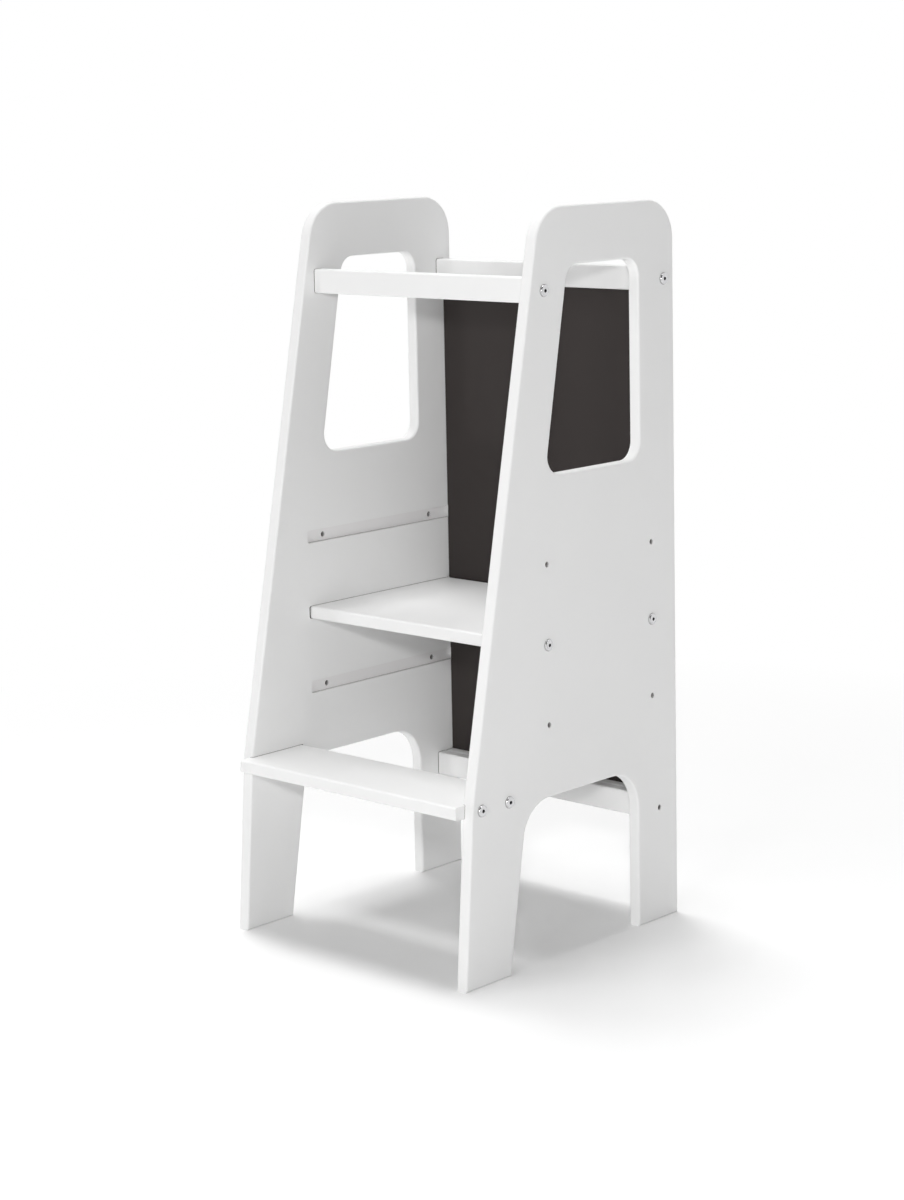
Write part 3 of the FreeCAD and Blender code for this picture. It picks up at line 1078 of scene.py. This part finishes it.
@dataclass
class ChalkboardScrews(BattenScrews):
    """Smaller screws with a domed pan head, which hold the chalkboard.

    Attributes:
        dome: how far the head's edge lies under its top.
        crown: the flat top's radius, as a share of half the recess's length.
    """

    rows: int = 2
    head_radius: float = 3.5 * MM
    head_height: float = 1.8 * MM
    dome: float = 1.1 * MM
    dome_steps: int = 7
    crown: float = 1.2
    recess_half_length: float = 1.5 * MM
    recess_half_width: float = 0.42 * MM
    recess_depth: float = 1.2 * MM
    shank_radius: float = 1.6 * MM
    thread_depth: float = 0.4 * MM
    thread_pitch: float = 1.3 * MM

    def head(self) -> list[Ring]:
        """The dome, the side and the flat underside.

        Returns:
            The rings.
        """
        crown_radius = self.recess_half_length * self.crown
        return [
            *quarter_round(self.dome, crown_radius, self.head_radius, self.dome_steps),
            Ring(self.head_height, self.head_radius),
            Ring(self.head_height, self.shank_radius),
        ]


@dataclass
class Dowels(Fastener):
    """Fluted beech dowels with chamfered ends."""

    slot: str = "beech"
    steps: int = 84
    recessed: bool = False
    radius: float = 3.0 * MM
    chamfer: float = 0.8 * MM
    plain_end: float = 1.44 * MM
    flutes: int = 14
    flute_depth: float = 0.3 * MM

    def places(self) -> list[Matrix]:
        """On the end of each dowel in the side panel."""
        return self.inward_places(self.radius, 1)

    def rings(self) -> list[Ring]:
        """From one chamfered end to the other, with flutes between.

        Returns:
            The rings.
        """
        end = self.length_in()
        flute = (RingShape.FLUTED, self.flute_depth, float(self.flutes))
        return [
            Ring(0.0, self.radius - self.chamfer),
            Ring(self.chamfer, self.radius),
            Ring(self.plain_end, self.radius, *flute),
            Ring(end - self.plain_end, self.radius, *flute),
            Ring(end - self.chamfer, self.radius),
            Ring(end, self.radius - self.chamfer),
        ]


@dataclass
class Fasteners:
    """Every bolt, nut, screw and dowel of the stool."""

    models: dict[str, bpy.types.Object]
    steel: PlatedSteel = field(default_factory=PlatedSteel)
    # Painted shade: near-black steel for the insides of sockets, slots and crosses.
    socket_painted_shade: PlatedSteel = field(default_factory=lambda: PlatedSteel(
        name="socket_painted_shade", colour=(0.075, 0.075, 0.08), dull=(0.045, 0.045, 0.05),
        roughness=0.45))
    beech: BareBeech = field(default_factory=BareBeech)

    def build(self) -> list[bpy.types.Object]:
        """Models each group.

        Returns:
            The groups' objects.
        """
        # socket is the painted shade of the recesses.
        steel, socket = self.steel.material(), self.socket_painted_shade.material()
        beech = self.beech.material()

        def group(
                kind: type[Fastener], node: str, finish: Material = steel,
                **sizes: int) -> bpy.types.Object:
            """Builds the fasteners of one node."""
            return kind(node, self.models[node], finish, socket, **sizes).build()

        pieces = []
        for board, rows in (("front_rail", 1), ("back_rail", 1), ("platform", 2), ("step", 2)):
            pieces.append(group(ConnectorBolts, f"{board}_bolts", rows=rows))
            pieces.append(
                group(BarrelNuts, f"{board}_barrel_nuts", rows=rows, upright=rows == 2))
        pieces.append(group(SunkScrews, "lower_rail_screws"))
        pieces.append(group(BattenScrews, "batten_screws"))
        pieces.append(group(ChalkboardScrews, "chalkboard_screws"))
        for rail in ("front_rail", "back_rail", "lower_rail"):
            pieces.append(group(Dowels, f"{rail}_dowels", beech))
        return pieces


# ---- Boards ------------------------------------------------------------------------------------
@dataclass
class Boards:
    """The painted boards and the chalkboard, which keep the frame's own shapes."""

    models: dict[str, bpy.types.Object]
    paint: SprayPaint = field(default_factory=SprayPaint)
    slate: ChalkboardPaint = field(default_factory=ChalkboardPaint)
    axes: dict[str, BoardAxis] = field(default_factory=lambda: {
        "left_side_panel": BoardAxis.X,
        "right_side_panel": BoardAxis.X,
        "platform": BoardAxis.Z,
        "step_board": BoardAxis.Z,
        "front_rail": BoardAxis.Y,
        "back_rail": BoardAxis.Y,
        "lower_rail": BoardAxis.Y,
        "chalkboard_batten": BoardAxis.Y,
    })

    def build(self) -> list[bpy.types.Object]:
        """Paints every board.

        Returns:
            The boards.
        """
        groove_floor_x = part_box("platform")[1].x
        finishes = {axis: self.paint.material(axis, groove_floor_x) for axis in BoardAxis}
        boards = [self.dressed(node, finishes[axis]) for node, axis in self.axes.items()]
        return boards + [self.dressed("chalkboard", self.slate.material())]

    def dressed(self, node: str, material: Material) -> bpy.types.Object:
        """Gives one board its finish.

        Args:
            node: the board's node.
            material: the finish.

        Returns:
            The board.
        """
        board = self.models[node]
        board.data.materials.clear()
        board.data.materials.append(material)
        return board


# ---- Setting -----------------------------------------------------------------------------------
@dataclass(frozen=True)
class SoftLight:
    """A round area light.

    Attributes:
        name: the light's name.
        place: where it hangs.
        size: its diameter.
        strength: how bright it makes a white sheet that faces it at the stool.
        aim: the point that it faces.
    """

    name: str
    place: Point
    size: float
    strength: float
    aim: Point = (0.0, 0.0, 0.45)

    def build(self) -> None:
        """Hangs the light and turns it to the stool."""
        reach = Vector(self.aim) - Vector(self.place)
        data = bpy.data.lights.new(self.name, "AREA")
        data.shape = "DISK"
        data.size = self.size
        data.energy = self.strength * math.pi ** 2 * reach.length_squared
        light = bpy.data.objects.new(self.name, data)
        light.matrix_world = aimed(self.place, -reach)
        bpy.context.scene.collection.objects.link(light)


@dataclass
class Studio:
    """White paper floor, soft light from above and from the front, and the photograph's camera.

    Attributes:
        axis_above_middle_px: how far above the picture's middle the camera's axis meets it.
        shaded_floor_radius: up to here the floor shows its shadow in full.
        white_floor_radius: from here on the floor is plain white.
        floor_colour: the paper as it gives light back to the stool.
        paper_colour: the paper as it is seen.
        painted_reflection_way: the way to the middle of a painted reflection, a darker patch that
            only mirrors show.
        painted_reflection_level: how bright that part is.
        painted_reflection_angle: how far round its middle it is fully dark.
        painted_reflection_blur: how wide its soft edge is.
    """

    camera_place: Point = (2.17155, -2.35132, 1.02353)
    camera_yaw: float = 42.701
    camera_pitch: float = -8.655
    camera_roll: float = -1.171
    focal_px: float = 2628.19
    axis_above_middle_px: float = 100.0
    sensor_mm: float = 36.0
    floor_size: float = 12.0
    floor_sides: int = 96
    shaded_floor_radius: float = 0.9
    white_floor_radius: float = 1.6
    floor_colour: Colour = (0.95, 0.95, 0.95)
    paper_colour: Colour = (1.06, 1.06, 1.06)
    world_strength: float = 0.268
    painted_reflection_way: Point = (0.60, -0.66, 0.42)
    painted_reflection_level: float = 0.03
    painted_reflection_angle: float = 40.0
    painted_reflection_blur: float = 12.0
    lights: tuple[SoftLight, ...] = (
        SoftLight("lamp_by_camera", (2.277, -2.433, 1.356), 0.2, 0.24),
        SoftLight("right_front_softbox", (2.5, -7.6, 1.2), 2.0, 0.145),
        SoftLight("left_front_softbox", (-4.5, -6.5, 1.0), 2.0, 0.10),
        SoftLight("overhead_softbox", (-0.3, 0.1, 8.0), 2.2, 0.375),
        SoftLight("left_overhead_softbox", (-2.6, 1.4, 8.0), 2.8, 0.31),
    )

    def build(self) -> None:
        """Makes the camera, the lights and the floor."""
        self.camera()
        self.world()
        for light in self.lights:
            light.build()
        self.floor()
        bpy.context.scene.view_settings.view_transform = "Standard"

    def camera(self) -> None:
        """The camera, turned and rolled as the photograph's was."""
        yaw, pitch, roll = (
            math.radians(angle)
            for angle in (self.camera_yaw, self.camera_pitch, self.camera_roll))
        level = Vector((math.cos(yaw), math.sin(yaw), 0.0))
        ahead = Vector((
            -math.sin(yaw) * math.cos(pitch), math.cos(yaw) * math.cos(pitch), math.sin(pitch)))
        up = level.cross(ahead)
        right = level * math.cos(roll) + up * math.sin(roll)
        top = up * math.cos(roll) - level * math.sin(roll)
        data = bpy.data.cameras.new("camera")
        data.sensor_width = self.sensor_mm
        data.lens = self.focal_px * self.sensor_mm / PHOTO_HEIGHT_PX
        data.shift_y = -self.axis_above_middle_px / PHOTO_HEIGHT_PX
        camera = bpy.data.objects.new("camera", data)
        turn = Matrix((right, top, -ahead)).transposed().to_4x4()
        camera.matrix_world = Matrix.Translation(Vector(self.camera_place)) @ turn
        bpy.context.scene.collection.objects.link(camera)
        bpy.context.scene.camera = camera

    def world(self) -> None:
        """White surroundings, weaker as light, with a darker patch painted into what mirrors show.
        """
        shader = ShaderTree.for_world("studio")
        way = shader.add("ShaderNodeTexCoord").outputs["Generated"]
        towards = shader.along(way, tuple(Vector(self.painted_reflection_way).normalized()))
        outer = math.cos(math.radians(self.painted_reflection_angle + self.painted_reflection_blur))
        inner = math.cos(math.radians(self.painted_reflection_angle))
        # Painted reflection: glossy rays see the surroundings darker round that way.
        mirrored = shader.spread(towards, 1.0, self.painted_reflection_level, (outer, inner))
        glossy = shader.add("ShaderNodeLightPath").outputs["Is Glossy Ray"]
        seen = shader.choose(glossy, 1.0, mirrored)
        background = shader.add("ShaderNodeBackground")
        background.inputs["Color"].default_value = (1.0, 1.0, 1.0, 1.0)
        strength = shader.choose(shader.seen_directly(), self.world_strength, seen)
        shader.link(strength, background.inputs["Strength"])
        shader.link(background.outputs["Background"], shader.output.inputs["Surface"])
        bpy.context.scene.world = shader.owner

    def floor(self) -> None:
        """White paper that keeps the stool's shadow and turns into the white surroundings."""
        mesh = bmesh.new()
        bmesh.ops.create_circle(
            mesh, cap_ends=True, segments=self.floor_sides, radius=self.floor_size / 2)
        floor = finished_object("floor", mesh)
        shader = ShaderTree.for_material("paper_floor")
        lit = self.paper(shader, self.floor_colour)
        shaded = self.paper(shader, self.paper_colour)
        white = shader.add("ShaderNodeEmission").outputs["Emission"]
        away = shader.add("ShaderNodeVectorMath", operation="LENGTH")
        shader.link(shader.position(), away.inputs[0])
        far = shader.spread(
            away.outputs["Value"], 0.0, 1.0, (self.shaded_floor_radius, self.white_floor_radius))
        seen = self.mix(shader, far, shaded, white)
        paper = self.mix(shader, shader.seen_directly(), lit, seen)
        shader.link(paper, shader.output.inputs["Surface"])
        floor.data.materials.append(shader.owner)

    def paper(self, shader: ShaderTree, colour: Colour) -> Socket:
        """Matt paper.

        Args:
            shader: the floor's tree.
            colour: the paper's colour.

        Returns:
            The surface's socket.
        """
        paper = shader.add("ShaderNodeBsdfDiffuse")
        shader.feed(paper.inputs["Color"], colour)
        return paper.outputs["BSDF"]

    def mix(self, shader: ShaderTree, share: Socket, first: Socket, second: Socket) -> Socket:
        """Mixes two surfaces.

        Args:
            shader: the floor's tree.
            share: the share of the second one.
            first: the first surface.
            second: the second surface.

        Returns:
            The mixed surface's socket.
        """
        mix = shader.add("ShaderNodeMixShader")
        shader.link(share, mix.inputs["Fac"])
        shader.link(first, mix.inputs[1])
        shader.link(second, mix.inputs[2])
        return mix.outputs["Shader"]


def main() -> None:
    """Builds the stool's looks around the frame."""
    logging.basicConfig(level=logging.INFO, format="%(name)s: %(message)s")
    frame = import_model()
    Studio().build()
    for part in (Boards(frame["nodes"]), Fasteners(frame["nodes"])):
        for piece in part.build():
            data = piece.data
            LOG.info("%s: %d faces, %s", piece.name, len(data.polygons), data.materials[0].name)


if __name__ == "__main__":
    main()
